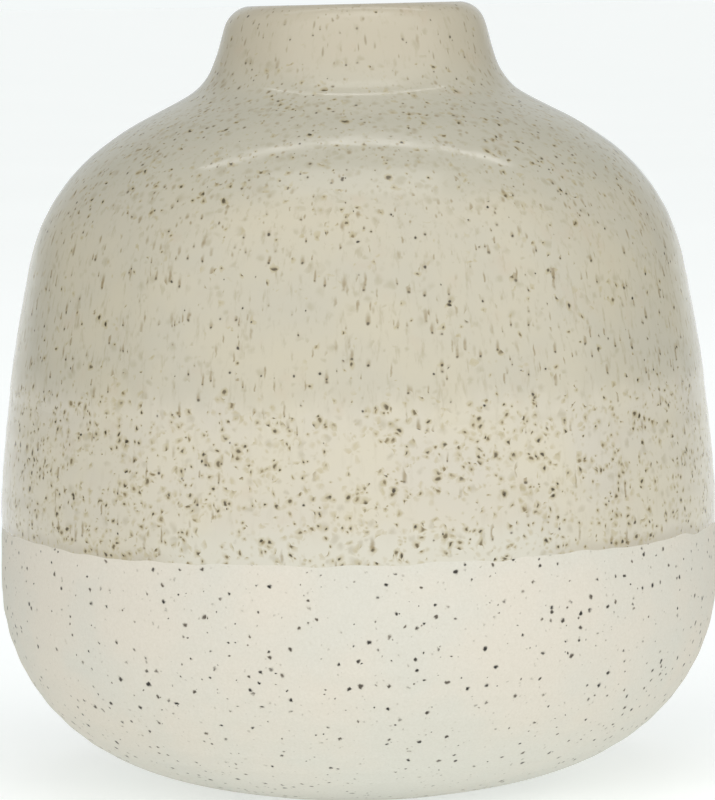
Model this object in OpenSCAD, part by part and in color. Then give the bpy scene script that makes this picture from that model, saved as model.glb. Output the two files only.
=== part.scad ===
// Stoneware vase: a round-bellied body on a low turned foot, drawn in to a short neck with a rolled lip.
// Three clay sections are stacked with stepped joints, stuck with slip and covered by three coats of glaze.
// Millimetres. +Z is up, the axis of the vase is the Z axis and the foot stands on Z = 0.
// A station is [radius, height, heading], where heading is the direction of the curve in degrees.

/* [Outline] */
// Widest diameter of the clay body
body_d = 145; // [138:1:152]
// Height of the widest place
belly_z = 42; // [38:0.5:46]
// Diameter of the turned foot
foot_d = 56; // [50:1:62]
// Diameter at the heel, where the underside turns up into the belly
heel_d = 102; // [98:1:106]
// Height of the heel
heel_z = 7.3; // [6.5:0.1:9]
// Diameter at the top of the flank
flank_d = 131.2; // [128:0.2:134]
// Height of the top of the flank
flank_z = 105.5; // [100:0.5:108]
// Diameter at the turn of the shoulder
shoulder_d = 120; // [116:1:123]
// Height of the turn of the shoulder
shoulder_z = 119.5; // [116:0.5:123]
// Diameter half way up the slope of the shoulder
slope_d = 91.4; // [89:0.2:94]
// Height half way up the slope of the shoulder
slope_z = 132.8; // [131:0.2:134]
// Diameter at the root of the neck
root_d = 66; // [64:0.2:68]
// Height of the root of the neck
root_z = 139.7; // [138:0.1:141]

/* [Neck] */
// Diameter of the neck just below the lip
neck_d = 52; // [50:0.2:54]
// Height at which the neck diameter is taken
neck_z = 153.2; // [152:0.2:154]
// Height of the top of the lip above the foot
lip_z = 157.4; // [156.6:0.2:159]
// Diameter of the circle along the top of the lip
lip_d = 42.4; // [41:0.2:44]
// Narrowest diameter of the clay mouth
mouth_d = 39; // [37:0.5:40]
// Diameter inside the neck below the lip
throat_d = 41.4; // [40:0.2:43]
// Height of the narrowest place below the top of the lip
mouth_drop = 2.6; // [2:0.2:3.4]
// Height of the throat below the top of the lip
throat_drop = 10; // [8:0.5:12]

/* [Wall] */
// Thickness of the clay wall
wall = 5; // [4:0.25:5.5]
// Height of the inside floor above the table
floor_z = 7; // [6.5:0.25:8]
// Diameter of the flat middle of the inside floor
floor_d = 44; // [36:2:52]
// Depth of the hollow turned out under the foot
foot_recess = 2; // [1:0.25:3]
// Width of the ring that the vase stands on
foot_ring_w = 7; // [5:0.5:9]
// Radius of the softened edges of the foot ring
foot_edge = 1; // [0.5:0.25:1.5]

/* [Joints] */
// Height of the joint between the bowl and the shoulder section
belly_joint_z = 62; // [58:1:72]
// Height of the joint between the shoulder section and the neck collar
neck_joint_z = 142; // [141:0.5:144]
// Depth of the step in from the outside, as a share of the wall
step_share = 0.6; // [0.5:0.05:0.7]
// Height of the tongue that locates the section above
tongue_h = 3.5; // [2:0.25:4]
// Thickness of the slip in the joints
slip_t = 0.5; // [0.3:0.1:0.8]

/* [Glaze] */
// Thickness of each coat of glaze on the outside
coat_t = 0.25; // [0.2:0.05:0.4]
// Thickness of the glaze lining
liner_t = 0.5; // [0.2:0.05:0.6]
// Height of the lower edge of the first coat
first_edge_z = 52.5; // [46:0.5:56]
// Height of the lower edge of the second coat
second_edge_z = 80; // [76:1:90]

/* [Hidden] */
$fn = 96;
clay_colour = "#E6E1D2";
slip_colour = "#D2CAB6";
first_glaze_colour = "#DCD3BC";
second_glaze_colour = "#CFC7B0";
lining_colour = "#D8CFB8";
steps = 8;
reach = 0.36;
foot_r = foot_d / 2;
ring_r = foot_r - foot_ring_w;
foot_heading = 11;

// Outside of the clay wall, from the foot up to the mouth
outside = [
    [foot_r - foot_edge + foot_edge * sin(foot_heading), foot_edge * (1 - cos(foot_heading)), foot_heading],
    [heel_d / 2, heel_z, 27.5],
    [body_d / 2, belly_z, 90],
    [flank_d / 2, flank_z, 101.5],
    [shoulder_d / 2, shoulder_z, 123],
    [slope_d / 2, slope_z, 148],
    [root_d / 2, root_z, 148],
    [neck_d / 2, neck_z, 105.5],
    [lip_d / 2, lip_z, 180],
    [mouth_d / 2, lip_z - mouth_drop, 270]
];

// Inside of the clay wall, from the mouth down to the flat floor
inside = [
    outside[9],
    [throat_d / 2, lip_z - throat_drop, 274],
    inner(outside[6]),
    inner(outside[5]),
    inner(outside[4]),
    inner(outside[3]),
    inner(outside[2]),
    inner(outside[1]),
    [floor_d / 2, floor_z, 180]
];

function along(angle) = [cos(angle), sin(angle)];
function outward(angle) = [sin(angle), -cos(angle)];
function place(s) = [s[0], s[1]];

// The station on the inside of the wall behind a station on the outside, with the curve running back down
function inner(s) =
    let (p = place(s) - wall * outward(s[2]))
    [p[0], p[1], s[2] + 180];

// Samples [point, outward normal] of the cubic curve between two stations, without its first point
function span(a, b) =
    let (
        arm = reach * norm(place(b) - place(a)),
        p0 = place(a),
        p1 = p0 + arm * along(a[2]),
        p3 = place(b),
        p2 = p3 - arm * along(b[2])
    )
    [
        for (i = [1 : steps])
        let (
            t = i / steps,
            u = 1 - t,
            point = u * u * u * p0 + 3 * u * u * t * p1 + 3 * u * t * t * p2 + t * t * t * p3,
            run = u * u * (p1 - p0) + 2 * u * t * (p2 - p1) + t * t * (p3 - p2)
        )
        [point, [run[1], -run[0]] / norm(run)]
    ];

// Samples of the curve through a run of stations
function curve(s) = [
    [place(s[0]), outward(s[0][2])],
    for (i = [1 : len(s) - 1]) each span(s[i - 1], s[i])
];

// The points of a curve, moved out from the clay by a thickness
function coated(samples, thickness) = [for (s = samples) s[0] + thickness * s[1]];

// Points without those that lie on the one before
function distinct(points) = [
    for (i = [0 : len(points) - 1])
    if (i == 0 || norm(points[i] - points[i - 1]) > 0.001) points[i]
];

outside_samples = curve(outside);
inside_samples = curve(inside);

// Radius of the step of a joint, inside the outer face of the wall half way up the tongue
function step_radius(joint_z) =
    lookup(joint_z + tongue_h / 2, [for (s = outside_samples) if (s[1][0] > 0) [s[0][1], s[0][0]]])
    - step_share * wall;

belly_step_r = step_radius(belly_joint_z);
neck_step_r = step_radius(neck_joint_z);

// Underside, from the middle of the hollow out over the foot ring
underside = [
    [0, foot_recess],
    [ring_r - foot_recess, foot_recess],
    [ring_r, foot_edge / 2],
    [ring_r + foot_edge / 2, 0],
    [foot_r - foot_edge, 0]
];

// Half section of the clay wall, grown by a coat on the outside and by one on the inside
module wall_section(outer_t = 0, inner_t = 0) {
    polygon(distinct(concat(
        underside,
        coated(outside_samples, outer_t),
        coated(inside_samples, inner_t),
        [[0, floor_z + inner_t]]
    )));
}

// Everything below a stepped joint: the part inside the step stands higher and makes the tongue
module below_joint(step_r, joint_z, gap = 0) {
    square([step_r + gap, joint_z + tongue_h + gap]);
    square([body_d, joint_z + gap]);
}

// A coat on the outside, from its lower edge up over the lip to the mouth
module outer_coat(from_t, to_t, edge_z) {
    rotate_extrude()
        difference() {
            wall_section(to_t);
            wall_section(from_t);
            translate([0, -wall])
                square([body_d, edge_z + wall]);
        }
}

// Slip in a stepped joint
module slip_seam(step_r, joint_z) {
    color(slip_colour)
        rotate_extrude()
            intersection() {
                wall_section();
                difference() {
                    below_joint(step_r, joint_z, slip_t);
                    below_joint(step_r, joint_z);
                }
            }
}

// Thrown bowl with the floor, the turned foot and the tongue of the belly joint
module lower_bowl() {
    color(clay_colour)
        rotate_extrude()
            intersection() {
                wall_section();
                below_joint(belly_step_r, belly_joint_z);
            }
}

module belly_slip() {
    slip_seam(belly_step_r, belly_joint_z);
}

// Thrown section from the flank over the shoulder, with the tongue of the neck joint
module shoulder_section() {
    color(clay_colour)
        rotate_extrude()
            intersection() {
                difference() {
                    wall_section();
                    below_joint(belly_step_r, belly_joint_z, slip_t);
                }
                below_joint(neck_step_r, neck_joint_z);
            }
}

module neck_slip() {
    slip_seam(neck_step_r, neck_joint_z);
}

// Thrown collar with the neck and the rolled lip
module neck_collar() {
    color(clay_colour)
        rotate_extrude()
            difference() {
                wall_section();
                below_joint(neck_step_r, neck_joint_z, slip_t);
            }
}

// First coat, dipped from the lip down past the joint at the belly
module first_glaze() {
    color(first_glaze_colour)
        outer_coat(0, coat_t, first_edge_z);
}

// Second coat, dipped over the first from the lip down the flank
module second_glaze() {
    color(second_glaze_colour)
        outer_coat(coat_t, 2 * coat_t, second_edge_z);
}

// Glaze poured into the vase, from the mouth down over the floor
module lining_glaze() {
    color(lining_colour)
        rotate_extrude()
            difference() {
                wall_section(0, liner_t);
                wall_section();
            }
}

lower_bowl();
belly_slip();
shoulder_section();
neck_slip();
neck_collar();
first_glaze();
second_glaze();
lining_glaze();
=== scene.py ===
"""Speckled stoneware vase: each CAD node is turned again as a finer mesh and gets a node material."""

import math

import bpy
import numpy as np
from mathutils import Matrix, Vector


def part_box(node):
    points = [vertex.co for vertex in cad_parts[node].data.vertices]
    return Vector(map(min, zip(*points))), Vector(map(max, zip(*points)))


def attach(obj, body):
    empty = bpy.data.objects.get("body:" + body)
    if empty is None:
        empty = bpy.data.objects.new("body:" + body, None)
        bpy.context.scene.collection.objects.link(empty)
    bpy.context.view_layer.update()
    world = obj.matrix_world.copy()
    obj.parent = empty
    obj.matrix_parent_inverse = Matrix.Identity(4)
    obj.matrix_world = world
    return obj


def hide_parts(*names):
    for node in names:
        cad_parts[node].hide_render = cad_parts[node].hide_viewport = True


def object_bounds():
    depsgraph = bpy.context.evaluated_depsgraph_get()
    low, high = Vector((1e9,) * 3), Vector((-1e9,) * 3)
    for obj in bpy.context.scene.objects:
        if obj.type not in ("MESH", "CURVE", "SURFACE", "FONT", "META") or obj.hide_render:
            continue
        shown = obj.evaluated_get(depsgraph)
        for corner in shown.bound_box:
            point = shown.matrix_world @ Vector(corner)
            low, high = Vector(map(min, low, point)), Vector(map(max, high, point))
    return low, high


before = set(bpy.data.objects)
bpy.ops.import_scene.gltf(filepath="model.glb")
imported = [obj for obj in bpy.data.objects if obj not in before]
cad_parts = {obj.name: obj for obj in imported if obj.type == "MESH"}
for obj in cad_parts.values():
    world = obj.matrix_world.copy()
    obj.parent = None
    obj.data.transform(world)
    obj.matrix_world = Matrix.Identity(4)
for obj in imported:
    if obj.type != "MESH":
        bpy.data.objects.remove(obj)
cad_low, cad_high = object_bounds()

MM = 0.001
BODY = "root"

# ---------------------------------------------------------------- camera

EYE_DISTANCE = 0.966
EYE_SIDE = 0.0002
LENS = 214.7
SENSOR = 36.0
AIM_SHARE = 0.492
ROLL = math.radians(0.8)


def make_camera():
    """Long lens level with the lip, looking slightly down at the middle of the vase."""
    data = bpy.data.cameras.new("camera")
    data.lens = LENS
    data.sensor_width = SENSOR
    data.clip_start = 0.05
    data.clip_end = 1000
    camera = bpy.data.objects.new("camera", data)
    bpy.context.scene.collection.objects.link(camera)
    camera.location = (EYE_SIDE, -EYE_DISTANCE, cad_high.z)
    view = Vector((EYE_SIDE, 0, cad_high.z * AIM_SHARE)) - camera.location
    camera.rotation_euler = view.to_track_quat("-Z", "Y").to_euler()
    camera.rotation_euler.rotate_axis("Z", -ROLL)
    bpy.context.scene.camera = camera


make_camera()

# ---------------------------------------------------------------- sections of the CAD nodes

RING_MATCH = 0.02 * MM
CORNER = math.radians(28)


def group_rings(co):
    """Circles of vertices as (radius, height), and the number of the circle that each vertex is on."""
    rings, cells = [], {}
    ring_of = np.empty(len(co), int)
    around = [(i, j) for i in (-1, 0, 1) for j in (-1, 0, 1)]
    for vertex, (x, y, z) in enumerate(co):
        r = math.hypot(x, y)
        a, b = round(r / RING_MATCH), round(z / RING_MATCH)
        near = [cells[a + i, b + j] for i, j in around if (a + i, b + j) in cells]
        if not near:
            near = [len(rings)]
            cells[a, b] = near[0]
            rings.append((r, z))
        ring_of[vertex] = near[0]
    return rings, ring_of


def rings_of(node):
    """The circles of vertices of a turned CAD node, and for each one the circles that edges join it to."""
    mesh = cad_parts[node].data
    co = np.empty(len(mesh.vertices) * 3)
    mesh.vertices.foreach_get("co", co)
    rings, ring_of = group_rings(co.reshape(-1, 3))
    edges = np.empty(len(mesh.edges) * 2, int)
    mesh.edges.foreach_get("vertices", edges)
    beside = {ring: set() for ring in range(len(rings))}
    for a, b in ring_of[edges.reshape(-1, 2)].tolist():
        if a != b:
            beside[a].add(b)
            beside[b].add(a)
    return rings, beside


def section(node):
    """Half section of a turned CAD node: its corners, anticlockwise, and whether they close a loop."""
    rings, beside = rings_of(node)
    ends = sorted(ring for ring in beside if len(beside[ring]) == 1)
    order = [ends[0] if ends else 0]
    while True:
        onward = sorted(ring for ring in beside[order[-1]] if ring not in order)
        if not onward:
            break
        order.append(onward[0])
    loop = np.array([rings[ring] for ring in order])
    r, z = loop[:, 0], loop[:, 1]
    area = np.sum(r * np.roll(z, -1) - np.roll(r, -1) * z)
    if area < 0:
        loop = loop[::-1]
    return loop, not ends


def tangents(points, steps):
    """Slopes of a smooth curve through points, from the points beside each one."""
    chord = np.diff(points, axis=0) / steps[:, None]
    slope = np.empty_like(points)
    before, after = steps[:-1, None], steps[1:, None]
    slope[1:-1] = (chord[:-1] * after + chord[1:] * before) / (before + after)
    slope[0] = 2 * chord[0] - slope[1]
    slope[-1] = 2 * chord[-1] - slope[-2]
    return slope


def hermite(a, b, slope_a, slope_b, step, t):
    """Point at share t of a smooth curve from a to b."""
    share = t * t * (3 - 2 * t)
    lead = t - 2 * t * t + t ** 3
    trail = t ** 3 - t * t
    return a * (1 - share) + b * share + step * (lead * slope_a + trail * slope_b)


def smooth_run(points, gap_at):
    """Closely spaced points on a smooth curve through a run of section corners, without the last one."""
    steps = np.linalg.norm(np.diff(points, axis=0), axis=1)
    straight = len(points) == 2
    slope = None if straight else tangents(points, steps)
    out = []
    for i, step in enumerate(steps):
        a, b = points[i], points[i + 1]
        count = max(1, math.ceil(step / gap_at((a + b) / 2)))
        for t in np.arange(count) / count:
            point = a + (b - a) * t if straight else hermite(a, b, slope[i], slope[i + 1], step, t)
            out.append(point)
    return out


def fine_section(node, gap_at):
    """The section with its smooth stretches resampled and its true corners kept."""
    loop, closed = section(node)
    ahead = np.roll(loop, -1, axis=0) - loop
    heading = np.arctan2(ahead[:, 1], ahead[:, 0])
    turn = np.abs((heading - np.roll(heading, 1) + math.pi) % (2 * math.pi) - math.pi)
    sharp = [i for i in range(len(loop)) if turn[i] > CORNER]
    if closed:
        loop = np.roll(loop, -sharp[0], axis=0)
        sharp = [i - sharp[0] for i in sharp] + [len(loop)]
        loop = np.vstack([loop, loop[:1]])
    else:
        sharp = sorted(set(sharp) | {0, len(loop) - 1})
    out = []
    for a, b in zip(sharp[:-1], sharp[1:]):
        out += smooth_run(loop[a:b + 1], gap_at)
    if not closed:
        out.append(loop[-1])
    return np.array(out), closed


# ---------------------------------------------------------------- the outer face of the clay

FACE_NODES = ("lower_bowl", "belly_slip", "shoulder_section", "neck_slip", "neck_collar")
FACE_STEP = 0.25 * MM
FACE_GAP = 0.8 * MM
LIP_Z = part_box("neck_collar")[1].z
NECK_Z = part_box("neck_collar")[0].z
BELLY_Z = 0.27 * LIP_Z
FIRST_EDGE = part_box("first_glaze")[0].z
SECOND_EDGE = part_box("second_glaze")[0].z


def clay_face():
    """Heights and the outer radius of the clay at each of them."""
    heights = np.arange(0, LIP_Z, FACE_STEP)
    radius = np.zeros(len(heights))
    for node in FACE_NODES:
        loop, _ = fine_section(node, lambda place: FACE_GAP)
        for a, b in zip(loop, np.roll(loop, -1, axis=0)):
            low, high = (a, b) if a[1] <= b[1] else (b, a)
            span = (heights >= low[1]) & (heights <= high[1])
            if span.any() and high[1] > low[1]:
                r = np.interp(heights[span], [low[1], high[1]], [low[0], high[0]])
                radius[span] = np.maximum(radius[span], r)
    return heights, radius


FACE_Z, FACE_R = clay_face()


def face_radius(z):
    return np.interp(z, FACE_Z, FACE_R)


# ---------------------------------------------------------------- how a hand-made vase is out of true

LEAN = 0.0064
LIP_TILT = 0.009
RING_DEPTH = 0.035 * MM
OVAL_DEPTH = 0.16 * MM
LOBE_DEPTH = 0.10 * MM
FOOT_CALM = 12 * MM
AXIS_CALM = 15 * MM


def ease(x):
    x = np.clip(x, 0, 1)
    return x * x * (3 - 2 * x)


def out_of_true(co):
    """Small lean, tilted lip, slightly oval belly and faint throwing rings, the same for every layer."""
    x, y, z = co[:, 0].copy(), co[:, 1].copy(), co[:, 2].copy()
    turn = np.arctan2(y, x)
    height = z / LIP_Z
    rings = np.sin(z / MM * 1.15 + 0.9 * np.sin(turn + 2.0)) * np.sin(z / MM * 0.23 + turn)
    oval = OVAL_DEPTH * np.cos(2 * turn + 0.6) * np.sin(math.pi * height)
    lobes = LOBE_DEPTH * np.cos(3 * turn + 5 * height)
    calm = ease(z / FOOT_CALM)
    grow = 1 + calm * (oval + lobes + rings * RING_DEPTH) / np.maximum(np.hypot(x, y), AXIS_CALM)
    moved = np.empty_like(co)
    moved[:, 0] = x * grow + LEAN * (z - BELLY_Z)
    moved[:, 1] = y * grow
    moved[:, 2] = z + LIP_TILT * x * ease((z - NECK_Z) / (LIP_Z - NECK_Z))
    return moved


# ---------------------------------------------------------------- the lower edges of the dipped coats

COAT = 0.25 * MM
WAVES = range(2, 72)
SAG_AT = math.radians(-122)
SAG_WIDTH = math.radians(22)
EDGE_REACH = 7 * MM
PULLED_ABOVE = 30 * MM
SKIN_DEPTH = 0.05 * MM
EDGE_DIP = 0.2
BACK_DIP = 0.4

FIRST = {
    "edge": FIRST_EDGE, "seed": 5, "under": 0, "taper": 4.5 * MM, "drop": 0.1 * MM,
    "wave": 0.55 * MM, "tilt": -0.5 * MM, "bow": 0.9 * MM, "sag": 1.0 * MM,
}
SECOND = {
    "edge": SECOND_EDGE, "seed": 9, "under": COAT, "taper": 6 * MM, "drop": 2.2 * MM,
    "wave": 1.3 * MM, "tilt": 0.6 * MM, "bow": 1.8 * MM, "sag": 0,
}


def edge_wave(turn, coat):
    """How far the dipped edge of a coat wanders up and down round the vase."""
    rng = np.random.default_rng(coat["seed"])
    wave = np.zeros_like(turn)
    for k in WAVES:
        wave += rng.normal() * np.cos(k * turn + rng.uniform(0, 2 * math.pi)) / k ** 0.7
    wave *= coat["wave"] / np.abs(wave).max()
    sag = coat["sag"] * np.exp(-((turn - SAG_AT) / SAG_WIDTH) ** 2)
    return wave + coat["tilt"] * np.cos(turn) + coat["bow"] * np.cos(turn) ** 2 - sag - coat["drop"]


def pull_edge(co, coat):
    """Waves the lower edge of a coat, and thins the coat until it dips under the layer below."""
    turn = np.arctan2(co[:, 1], co[:, 0])
    r = np.hypot(co[:, 0], co[:, 1])
    z = co[:, 2].copy()
    above = z - coat["edge"]
    outer = r > face_radius(z) - SKIN_DEPTH
    shift = edge_wave(turn, coat) * np.exp(-(above / EDGE_REACH) ** 2)
    new_z = np.where(outer, z + shift, z)
    thin = (1 + EDGE_DIP) * ease(above / coat["taper"] + 0.1) ** 0.6 - EDGE_DIP
    skin = np.where(r - face_radius(z) - coat["under"] > COAT / 2, COAT * thin, -BACK_DIP * COAT)
    pulled = outer & (z < SECOND_EDGE + PULLED_ABOVE)
    new_r = np.where(pulled, face_radius(new_z) + coat["under"] + skin, r)
    return np.stack([new_r * np.cos(turn), new_r * np.sin(turn), new_z], 1)


# ---------------------------------------------------------------- turning a section into a mesh

SEGMENTS = 384
SEGMENTS_HIDDEN = 192
FINE = 0.7 * MM
COARSE = 3.0 * MM
OUTER_SKIN = 0.4 * MM
LIP_ZONE = 10 * MM
CREASE = math.radians(40)


def lathe_points(line, poles, segments):
    """A circle of points for each point of a half section, then the poles on the axis."""
    angle = np.tile(np.arange(segments) * 2 * math.pi / segments, len(line))
    r = np.repeat(line[:, 0], segments)
    z = np.repeat(line[:, 1], segments)
    co = np.stack([r * np.cos(angle), r * np.sin(angle), z], 1)
    return np.vstack([co] + [[[0, 0, pole[1]]] for pole in poles])


def lathe_faces(count, segments, closed):
    """Faces between the circles, with a fan to each pole where the section isn't a closed loop."""
    ring = np.arange(count if closed else count - 1)[:, None] * segments
    step = np.arange(segments)[None, :]
    onward = (step + 1) % segments
    above = (ring + segments) % (count * segments)
    quads = np.stack([ring + step, ring + onward, above + onward, above + step], -1).reshape(-1, 4)
    faces = quads.tolist()
    if not closed:
        first, last = count * segments, count * segments + 1
        top = (count - 1) * segments
        faces += [[first, (j + 1) % segments, j] for j in range(segments)]
        faces += [[last, top + j, top + (j + 1) % segments] for j in range(segments)]
    return faces


def turned(name, node, gap_at, segments=SEGMENTS, coat=None):
    """A closed mesh turned from a CAD node's section, out of true as the whole vase is."""
    line, closed = fine_section(node, gap_at)
    line[:, 1] = np.maximum(line[:, 1], 0)
    poles = [] if closed else [line[0], line[-1]]
    if not closed:
        line = line[1:-1]
    co = lathe_points(line, poles, segments)
    above_edge = co[:, 2] - (coat["edge"] if coat else 0)
    if coat:
        co = pull_edge(co, coat)
    co = out_of_true(co)
    faces = lathe_faces(len(line), segments, closed)
    mesh = bpy.data.meshes.new(name)
    mesh.from_pydata(co.tolist(), [], faces)
    mesh.polygons.foreach_set("use_smooth", np.ones(len(faces), bool))
    attribute = mesh.attributes.new("above_edge", "FLOAT", "POINT")
    attribute.data.foreach_set("value", (above_edge / MM).astype(np.float32))
    mesh.set_sharp_from_angle(angle=CREASE)
    mesh.update()
    piece = bpy.data.objects.new(name, mesh)
    bpy.context.scene.collection.objects.link(piece)
    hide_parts(node)
    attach(piece, BODY)
    return piece


def gap_outside(place):
    """Fine rings where the outer face shows, coarse ones inside the wall."""
    r, z = place
    shown = r > face_radius(z) - OUTER_SKIN or z > LIP_Z - LIP_ZONE
    return FINE if shown else COARSE


def gap_inside(place):
    return FINE if place[1] > NECK_Z - LIP_ZONE else COARSE


def gap_hidden(place):
    return COARSE


bowl = turned("bowl", "lower_bowl", gap_outside)
shoulder = turned("shoulder", "shoulder_section", gap_hidden, SEGMENTS_HIDDEN)
collar = turned("collar", "neck_collar", gap_hidden, SEGMENTS_HIDDEN)
belly_seam = turned("belly_seam", "belly_slip", gap_hidden, SEGMENTS_HIDDEN)
neck_seam = turned("neck_seam", "neck_slip", gap_hidden, SEGMENTS_HIDDEN)
first_coat = turned("first_coat", "first_glaze", gap_outside, coat=FIRST)
second_coat = turned("second_coat", "second_glaze", gap_outside, coat=SECOND)
lining = turned("lining", "lining_glaze", gap_inside)

# ---------------------------------------------------------------- short ways to join shader nodes

CLAY_DIM = 0.78
GLAZE_DIM = 0.735


def paint(r, g, b, dim=CLAY_DIM):
    """Linear colour of an sRGB one given from 0 to 255, as it looks under the lamps here."""
    def one(v):
        v /= 255
        return dim * (v / 12.92 if v <= 0.04045 else ((v + 0.055) / 1.055) ** 2.4)
    return one(r), one(g), one(b), 1


def stain(r, g, b):
    """The same for glaze, whose gloss adds some light of its own."""
    return paint(r, g, b, GLAZE_DIM)


class Graph:
    """Short ways to make and join nodes. Places and sizes are in millimetres."""

    def __init__(self, tree):
        self.tree = tree

    def node(self, kind, **settings):
        node = self.tree.nodes.new(kind)
        for key, value in settings.items():
            setattr(node, key, value)
        return node

    def put(self, socket, value):
        if isinstance(value, bpy.types.NodeSocket):
            self.tree.links.new(value, socket)
        else:
            socket.default_value = value

    def math(self, operation, a, b=0.0):
        node = self.node("ShaderNodeMath", operation=operation)
        self.put(node.inputs[0], a)
        self.put(node.inputs[1], b)
        return node.outputs[0]

    def product(self, first, *others):
        for other in others:
            first = self.math("MULTIPLY", first, other)
        return first

    def step(self, value, low, high, to_low=0.0, to_high=1.0):
        """Smooth step of value from low to high."""
        node = self.node("ShaderNodeMapRange", interpolation_type="SMOOTHSTEP")
        self.put(node.inputs["Value"], value)
        self.put(node.inputs["From Min"], low)
        self.put(node.inputs["From Max"], high)
        self.put(node.inputs["To Min"], to_low)
        self.put(node.inputs["To Max"], to_high)
        return node.outputs["Result"]

    def mix(self, share, a, b, blend="MIX"):
        """Colour a, with share of colour b."""
        node = self.node("ShaderNodeMix", data_type="RGBA", blend_type=blend)
        self.put(node.inputs["Factor"], share)
        self.put(node.inputs[6], a)
        self.put(node.inputs[7], b)
        return node.outputs[2]

    def blend(self, share, a, b):
        """Number a, with share of number b."""
        node = self.node("ShaderNodeMix", data_type="FLOAT")
        self.put(node.inputs["Factor"], share)
        self.put(node.inputs[2], a)
        self.put(node.inputs[3], b)
        return node.outputs[0]

    def vector(self, operation, a, b, output=0):
        node = self.node("ShaderNodeVectorMath", operation=operation)
        self.put(node.inputs[0], a)
        self.put(node.inputs[1], b)
        return node.outputs[output]

    def scaled(self, vector, factor):
        node = self.node("ShaderNodeVectorMath", operation="SCALE")
        self.put(node.inputs[0], vector)
        self.put(node.inputs["Scale"], factor)
        return node.outputs[0]

    def length(self, vector):
        node = self.node("ShaderNodeVectorMath", operation="LENGTH")
        self.put(node.inputs[0], vector)
        return node.outputs["Value"]

    def parts(self, vector):
        node = self.node("ShaderNodeSeparateXYZ")
        self.put(node.inputs[0], vector)
        return node.outputs

    def millimetres(self):
        place = self.node("ShaderNodeTexCoord").outputs["Object"]
        return self.scaled(place, 1 / MM)

    def above_edge(self):
        """Height above the lower edge of the coat itself."""
        return self.node("ShaderNodeAttribute", attribute_name="above_edge").outputs["Fac"]

    def noise_node(self, place, size, detail):
        node = self.node("ShaderNodeTexNoise")
        self.put(node.inputs["Vector"], place)
        self.put(node.inputs["Scale"], 1 / size)
        self.put(node.inputs["Detail"], detail)
        return node

    def noise(self, place, size, detail=2.0, rough=0.5):
        """Noise from 0 to 1 with features of about that size."""
        node = self.noise_node(place, size, detail)
        self.put(node.inputs["Roughness"], rough)
        return node.outputs["Fac"]

    def drift(self, place, size, amount):
        """The place moved about by up to amount, in swirls of that size."""
        swirl = self.noise_node(place, size, 1.0).outputs["Color"]
        centred = self.vector("SUBTRACT", swirl, (0.5, 0.5, 0.5))
        return self.vector("ADD", place, self.scaled(centred, 2 * amount))

    def relief(self, height, strength):
        """Bump from a height, as the normal."""
        bump = self.node("ShaderNodeBump")
        bump.inputs["Distance"].default_value = MM
        bump.inputs["Strength"].default_value = strength
        self.put(bump.inputs["Height"], height)
        return bump.outputs["Normal"]


class Surface(Graph):
    """The graph of one material, around a Principled shader."""

    def __init__(self, name):
        self.material = bpy.data.materials.new(name)
        self.material.use_nodes = True
        super().__init__(self.material.node_tree)
        self.tree.nodes.clear()
        self.shader = self.node("ShaderNodeBsdfPrincipled")
        output = self.node("ShaderNodeOutputMaterial")
        self.tree.links.new(self.shader.outputs["BSDF"], output.inputs["Surface"])

    def finish(self, colour, roughness, normal):
        self.put(self.shader.inputs["Base Color"], colour)
        self.put(self.shader.inputs["Roughness"], roughness)
        self.put(self.shader.inputs["Normal"], normal)
        return self.material


# ---------------------------------------------------------------- iron grains

UNSHIFTED = (0.0, 0.0, 0.0)


def cells(g, place, size, stretch, shift):
    """The way from the grain of the cell here in millimetres, and three random numbers of that cell."""
    squeeze = (1 / size, 1 / size, 1 / (size * stretch))
    squeezed = g.vector("MULTIPLY", g.vector("ADD", place, shift), squeeze)
    node = g.node("ShaderNodeTexVoronoi")
    g.put(node.inputs["Vector"], squeezed)
    node.inputs["Scale"].default_value = 1.0
    away = g.vector("SUBTRACT", squeezed, node.outputs["Position"])
    away = g.vector("MULTIPLY", away, (size, size, size * stretch))
    split = g.node("ShaderNodeSeparateColor")
    g.put(split.inputs[0], node.outputs["Color"])
    return away, split.outputs


def within(g, distance, radius, low, high):
    """1 inside a soft-edged distance, 0 outside it. low and high are shares of the radius."""
    ratio = g.math("DIVIDE", distance, g.math("MAXIMUM", radius, 1e-4))
    return g.step(ratio, high, low)


def grain_size(g, random, small, large, skew, share):
    """Radius of each grain, 0 for the ones that are left out."""
    spread = g.math("POWER", random[0], skew)
    radius = g.math("ADD", g.product(spread, large - small), small)
    return g.product(radius, g.math("LESS_THAN", random[1], share))


def grains(g, place, size, small, large, share, shift, soft=0.3, halo=2.2, skew=2.0, stretch=1.0):
    """Scattered round grains: masks of the cores and their halos, and a random number of each grain."""
    away, random = cells(g, place, size, stretch, shift)
    radius = grain_size(g, random, small, large, skew, share)
    distance = g.length(away)
    core = within(g, distance, radius, 1 - soft, 1 + soft)
    return core, within(g, distance, radius, 0.5, halo), random[2]


def runs(g, place, size, small, large, share, shift, stretch=4.0, tail=3.4):
    """Grains that have bled upwards: masks of the dots and of their tails, and a random number of each."""
    away, random = cells(g, place, size, stretch, shift)
    radius = grain_size(g, random, small, large, 1.5, share)
    dot = within(g, g.length(away), radius, 0.5, 1.3)
    across = g.length(g.vector("MULTIPLY", away, (1, 1, 0)))
    width = within(g, across, radius, 0.2, 2.1)
    rise = g.parts(away)["Z"]
    upward = g.step(g.math("SUBTRACT", rise, g.product(random[2], tail)), 0.6, -1.6)
    downward = g.step(rise, -0.6, 0.1)
    return dot, g.product(width, upward, downward), random[2]


# ---------------------------------------------------------------- bare clay

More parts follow.
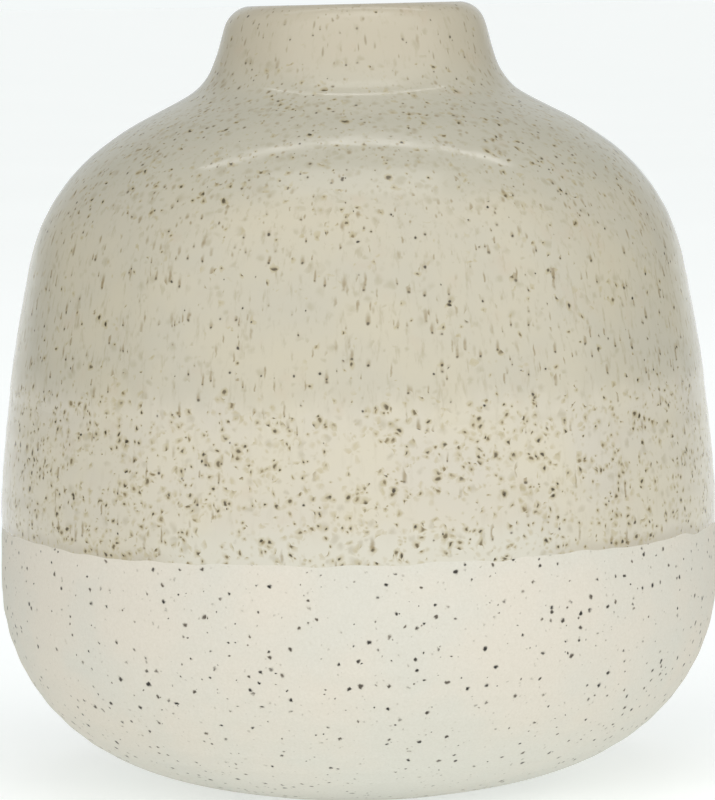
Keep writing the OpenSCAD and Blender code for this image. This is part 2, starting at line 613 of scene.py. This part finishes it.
FOOT_ZONE = (20.0, 2.0)
CLAY_WARM = paint(240, 233, 219)
CLAY_COOL = paint(235, 232, 220)
CLAY_FOOT = paint(241, 241, 233)
CLAY_DUST = paint(150, 138, 120)
CLAY_HALO = paint(196, 184, 156)
CLAY_IRON = paint(40, 38, 36)
CLAY_IRON_PALE = paint(120, 110, 96)
SAND_SHADE = (0.93, 0.925, 0.91, 1)


def bare_clay():
    """Unglazed stoneware: pale, dry and faintly sandy, with iron grains burnt nearly black."""
    g = Surface("bare_clay")
    place = g.millimetres()
    sand = g.noise(place, 0.5, 3.0, 0.75)
    mottle = g.step(g.noise(place, 22.0, 3.0), 0.35, 0.65)
    colour = g.mix(mottle, CLAY_WARM, CLAY_COOL)
    low_down = g.step(g.parts(place)["Z"], *FOOT_ZONE, 0.0, 0.6)
    colour = g.mix(low_down, colour, CLAY_FOOT)
    shaded = g.mix(1.0, colour, SAND_SHADE, "MULTIPLY")
    colour = g.mix(g.step(sand, 0.25, 0.8), colour, shaded)
    jagged = g.drift(g.drift(place, 1.1, 0.4), 0.35, 0.15)
    shift = (7.1, 3.3, 1.9)
    dust, _, _ = grains(g, jagged, size=1.3, small=0.06, large=0.24, share=0.6, shift=shift, soft=0.6)
    colour = g.mix(g.product(dust, 0.4), colour, CLAY_DUST)
    crowd = g.step(g.noise(place, 11.0, 2.0), 0.3, 0.7, 0.5, 0.9)
    core, ring, tone = grains(
        g, jagged, size=1.85, small=0.14, large=0.45, share=crowd, shift=UNSHIFTED, soft=0.45, skew=1.6
    )
    colour = g.mix(g.product(ring, 0.2), colour, CLAY_HALO)
    iron = g.mix(g.math("POWER", tone, 2.0), CLAY_IRON, CLAY_IRON_PALE)
    colour = g.mix(core, colour, iron)
    g.shader.inputs["Specular IOR Level"].default_value = 0.3
    roughness = g.blend(core, g.step(sand, 0.0, 1.0, 0.74, 0.9), 0.5)
    height = g.math("ADD", g.product(sand, 0.05), g.product(core, 0.02))
    return g.finish(colour, roughness, g.relief(height, 0.8))


# ---------------------------------------------------------------- glaze

CROWN_ZONE = (116.0, 128.0)
NECK_ZONE = (138.0, 150.0)
SECOND_SHOWS = (1.0, 7.0)
GLAZE_IOR = 1.42
FIRST_WARM = stain(232, 224, 202)
FIRST_COOL = stain(228, 221, 204)
SECOND_WARM = stain(222, 214, 191)
SECOND_COOL = stain(216, 210, 191)
CROWN_PAINTED_SHADE = stain(212, 208, 190)
NECK_TONE = stain(216, 207, 185)
SMEAR_TONE = stain(186, 174, 144)
PINK_TONE = stain(216, 192, 166)
EDGE_PALE = paint(229, 225, 210)
EDGE_BEAD_AND_SHADE = stain(168, 154, 132)
PATCH_TONE = stain(178, 166, 134)
BLOT_HALO = stain(196, 180, 134)
BLOT_DARK = stain(60, 52, 40)
BLOT_PALE = stain(152, 136, 102)
RUN_TAIL = stain(164, 146, 108)
RUN_DOT = stain(48, 43, 36)
DRIP_TONE = stain(160, 145, 114)
RUN_LAYERS = (
    {"shift": (3.7, 9.1, 5.3), "share": 0.95},
    {"shift": (19.0, 2.5, 11.7), "share": 0.85},
    {"shift": (8.3, 23.0, 1.1), "share": 0.6},
)


def share_of_second(g, place, kind):
    """0 where only the first coat lies, 1 where the second covers it."""
    if kind != "second":
        return {"first": 0.0, "lining": 0.4}[kind]
    above = g.above_edge()
    ragged = g.noise(g.vector("MULTIPLY", place, (1, 1, 0.3)), 3.0, 3.0)
    level = g.math("ADD", above, g.product(g.math("SUBTRACT", ragged, 0.5), 6.0))
    return g.product(g.step(level, *SECOND_SHOWS), g.step(above, 0.2, 2.0))


def glaze_ground(g, place, upper, crown, neck):
    """Colour of the glaze between its grains."""
    mottle = g.step(g.noise(place, 16.0, 3.0), 0.3, 0.7)
    warm = g.mix(mottle, FIRST_WARM, FIRST_COOL)
    cool = g.mix(mottle, SECOND_WARM, SECOND_COOL)
    colour = g.mix(upper, warm, cool)
    # painted shade: the shoulder glaze is made darker and cooler, standing in for the weaker, cooler light
    # that reaches it from above
    colour = g.mix(g.product(crown, 0.8), colour, CROWN_PAINTED_SHADE)
    colour = g.mix(neck, colour, NECK_TONE)
    drawn = g.vector("MULTIPLY", place, (1, 1, 0.22))
    smear = g.step(g.noise(drawn, 1.3, 3.0, 0.65), 0.52, 0.78)
    strength = g.blend(crown, g.blend(upper, 0.16, 0.55), 0.3)
    colour = g.mix(g.product(smear, strength), colour, SMEAR_TONE)
    pink = g.step(g.noise(g.vector("ADD", place, (40.0, 0.0, 9.0)), 6.0, 3.0), 0.58, 0.8)
    return g.mix(g.product(pink, 0.22), colour, PINK_TONE)


def thin_edge(g, place, colour):
    """The last millimetres of the first coat: paler in front, with a soft grey line towards the sides that is
    partly the glaze gathered thicker at its edge and partly painted shade standing in for the gloss showing
    darker surroundings there.
    """
    above = g.above_edge()
    uneven = g.product(g.math("SUBTRACT", g.noise(place, 3.5, 2.0), 0.5), 4.0)
    off_middle = g.math("ABSOLUTE", g.parts(g.drift(place, 24.0, 7.0))["X"])
    side = g.step(off_middle, 30.0, 48.0)
    pale = g.product(g.step(g.math("ADD", above, uneven), 9.0, 3.0), g.blend(side, 0.75, 0.0))
    colour = g.mix(pale, colour, EDGE_PALE)
    # painted shade: the grey line is laid only towards the sides as seen from the front, part the thicker
    # glaze at the edge and part the darker surroundings that the gloss shows there
    line = g.step(g.math("ADD", above, g.product(uneven, 0.4)), 3.2, 0.4)
    return g.mix(g.product(line, side, 0.3), colour, EDGE_BEAD_AND_SHADE)


def faint_patches(g, place, colour, upper, crown, plain):
    """Soft brownish patches where iron lies deep under the glaze."""
    share = g.product(plain, g.blend(upper, 0.36, g.blend(crown, 0.4, 0.75)))
    shift = (31.0, 4.0, 17.0)
    patch, _, _ = grains(
        g, place, size=1.9, small=0.25, large=0.85, share=share, shift=shift, soft=0.8, skew=1.0, stretch=1.3
    )
    return g.mix(g.product(patch, 0.38), colour, PATCH_TONE)


def blots(g, place, colour, upper, crown, plain, crowd):
    """Dark brown grains that have bled into the glaze all round, dense in the first coat."""
    share = g.product(crowd, g.blend(upper, 1.0, g.blend(crown, 0.12, 0.3)), plain)
    core, ring, tone = grains(
        g, place, size=1.38, small=0.12, large=0.43, share=share, shift=UNSHIFTED,
        soft=0.5, halo=3.6, skew=1.4
    )
    colour = g.mix(g.product(ring, 0.62), colour, BLOT_HALO)
    iron = g.mix(g.math("POWER", tone, 1.5), BLOT_DARK, BLOT_PALE)
    return g.mix(g.product(core, 0.94), colour, iron)


def bled_grains(g, place, colour, upper, crown, neck, crowd):
    """Small black grains with brown tails, mostly in the second coat."""
    wavy = g.drift(place, 1.2, 0.25)
    faint = g.blend(neck, g.blend(crown, 0.74, 0.62), 0.42)
    firm = g.blend(crown, 1.0, 0.8)
    for layer in RUN_LAYERS:
        density = g.blend(upper, layer["share"] * 0.3, layer["share"])
        share = g.product(g.blend(neck, crowd, 0.6), density)
        dot, tail, tone = runs(g, wavy, size=1.55, small=0.13, large=0.34, share=share, shift=layer["shift"])
        colour = g.mix(g.product(tail, faint), colour, RUN_TAIL)
        strong = g.product(g.blend(tone, 0.98, 0.5), firm)
        colour = g.mix(g.product(dot, strong), colour, RUN_DOT)
    return colour


def neck_drips(g, place, colour, neck):
    """Long thin drips down the neck."""
    wavy = g.drift(place, 4.0, 0.5)
    share = g.product(neck, 0.8)
    shift = (5.0, 14.0, 2.0)
    _, drip, _ = runs(
        g, wavy, size=2.0, small=0.10, large=0.22, share=share, shift=shift, stretch=5.0, tail=14.0
    )
    return g.mix(g.product(drip, 0.66), colour, DRIP_TONE)


def glaze(name, kind):
    """Glossy cream glaze with iron that has bled into it, calmer and more drawn out under the second coat."""
    g = Surface(name)
    place = g.millimetres()
    height = g.parts(place)["Z"]
    crown = g.step(height, *CROWN_ZONE)
    neck = g.step(height, *NECK_ZONE)
    plain = g.math("SUBTRACT", 1.0, g.product(neck, 0.85))
    upper = share_of_second(g, place, kind)
    colour = glaze_ground(g, place, upper, crown, neck)
    if kind == "first":
        colour = thin_edge(g, place, colour)
    jagged = g.drift(g.drift(place, 2.6, 0.9), 0.7, 0.25)
    crowd = g.step(g.noise(place, 5.0, 2.0), 0.36, 0.6, 0.22, 1.0)
    colour = faint_patches(g, jagged, colour, upper, crown, plain)
    colour = blots(g, jagged, colour, upper, crown, plain, crowd)
    colour = bled_grains(g, place, colour, upper, crown, neck, crowd)
    colour = neck_drips(g, place, colour, neck)
    g.shader.inputs["IOR"].default_value = GLAZE_IOR
    roughness = g.step(g.noise(place, 6.0, 2.0), 0.2, 0.8, 0.10, 0.2)
    slow = g.product(g.noise(place, 5.0, 2.0), 0.05)
    ripple = g.math("ADD", slow, g.product(g.noise(place, 1.3, 1.0), 0.003))
    return g.finish(colour, roughness, g.relief(ripple, 1.0))


def dress(piece, material):
    piece.data.materials.clear()
    piece.data.materials.append(material)


clay = bare_clay()
for piece in (bowl, shoulder, collar):
    dress(piece, clay)
for piece in (belly_seam, neck_seam):
    dress(piece, clay)
dress(first_coat, glaze("first_coat_glaze", "first"))
dress(second_coat, glaze("second_coat_glaze", "second"))
dress(lining, glaze("lining_finish", "lining"))

# ---------------------------------------------------------------- floor

FLOOR_HALF = 400.0
FLOOR_GLOW = 0.43
FLOOR_GLOW_ASIDE = 0.2
FLOOR_GLOW_TINT = (0.975, 1, 0.998, 1)
PAPER = (0.70, 0.72, 0.718, 1)
PAPER_PALE = (0.72, 0.74, 0.738, 1)
PAPER_ASIDE = (0.5, 0.51, 0.508, 1)


def make_floor():
    """Pale paper under and behind the vase, a little duller far out to the sides."""
    mesh = bpy.data.meshes.new("floor")
    corners = [(-1, -1, 0), (1, -1, 0), (1, 1, 0), (-1, 1, 0)]
    mesh.from_pydata([Vector(corner) * FLOOR_HALF for corner in corners], [], [(0, 1, 2, 3)])
    floor = bpy.data.objects.new("floor", mesh)
    bpy.context.scene.collection.objects.link(floor)
    g = Surface("floor_paper")
    place = g.millimetres()
    metres = g.parts(g.scaled(place, MM))
    depth = g.math("ADD", g.math("ABSOLUTE", metres["Y"]), 1.0)
    aside = g.step(g.math("DIVIDE", g.math("ABSOLUTE", metres["X"]), depth), 0.2, 0.9)
    tone = g.step(g.noise(place, 400.0, 2.0), 0.3, 0.7)
    paper = g.mix(tone, PAPER, PAPER_PALE)
    g.put(g.shader.inputs["Base Color"], g.mix(aside, paper, PAPER_ASIDE))
    g.shader.inputs["Roughness"].default_value = 0.9
    g.shader.inputs["Specular IOR Level"].default_value = 0.1
    g.shader.inputs["Emission Color"].default_value = FLOOR_GLOW_TINT
    g.put(g.shader.inputs["Emission Strength"], g.blend(aside, FLOOR_GLOW, FLOOR_GLOW_ASIDE))
    mesh.materials.append(g.material)


# ---------------------------------------------------------------- light and world

SKY_ALL = 0.23
SKY_FRONT = 1.2
SKY_BACK = 0.42
SKY_HAZE = 0.31
SKY_COLOUR = (0.95, 0.99, 0.985, 1)
SKY_COLOUR_FRONT = (1.0, 0.995, 0.985, 1)
KEY_SIDE = math.radians(6)
FRONT_LOBE = (-0.05, 0.45)
BACK_LOBE = (0.7, 0.95)
HAZE_BAND = (0.08, 0.0)
LAMP_HEIGHT = 1.6
OVERHEAD_POWER = 2.5
REAR_POWER = 1.9


def area_light(name, place, target, width, height, power):
    data = bpy.data.lights.new(name, "AREA")
    data.shape = "RECTANGLE"
    data.size = width
    data.size_y = height
    data.energy = power
    lamp = bpy.data.objects.new(name, data)
    lamp.location = place
    lamp.rotation_euler = (Vector(target) - Vector(place)).to_track_quat("-Z", "Y").to_euler()
    bpy.context.scene.collection.objects.link(lamp)


def make_world():
    """Soft light all round, strongest from the front, with the sides darker than the back."""
    world = bpy.data.worlds.new("studio")
    world.use_nodes = True
    g = Graph(world.node_tree)
    direction = g.node("ShaderNodeTexCoord").outputs["Generated"]

    def along(axis):
        return g.vector("DOT_PRODUCT", direction, axis, "Value")

    key = along((math.sin(KEY_SIDE), -math.cos(KEY_SIDE), 0))
    front = g.step(key, *FRONT_LOBE, 0.0, SKY_FRONT)
    back = g.step(along((0, 1, 0)), *BACK_LOBE, 0.0, SKY_BACK)
    haze = g.step(along((0, 0, 1)), *HAZE_BAND, 0.0, SKY_HAZE)
    strength = g.math("ADD", g.math("ADD", front, back), g.math("ADD", haze, SKY_ALL))
    colour = g.mix(g.step(along((0, -1, 0)), *FRONT_LOBE), SKY_COLOUR, SKY_COLOUR_FRONT)
    background = world.node_tree.nodes["Background"]
    g.put(background.inputs["Strength"], strength)
    g.put(background.inputs["Color"], colour)
    bpy.context.scene.world = world
    bpy.context.scene.view_settings.view_transform = "Standard"


make_floor()
make_world()
area_light("overhead_panel", (0, -0.27, LAMP_HEIGHT), (0, -0.27, 0), 1.1, 0.5, OVERHEAD_POWER)
area_light("rear_strip", (0, 0.5, LAMP_HEIGHT), (0, 0, 0.1), 1.8, 0.06, REAR_POWER)
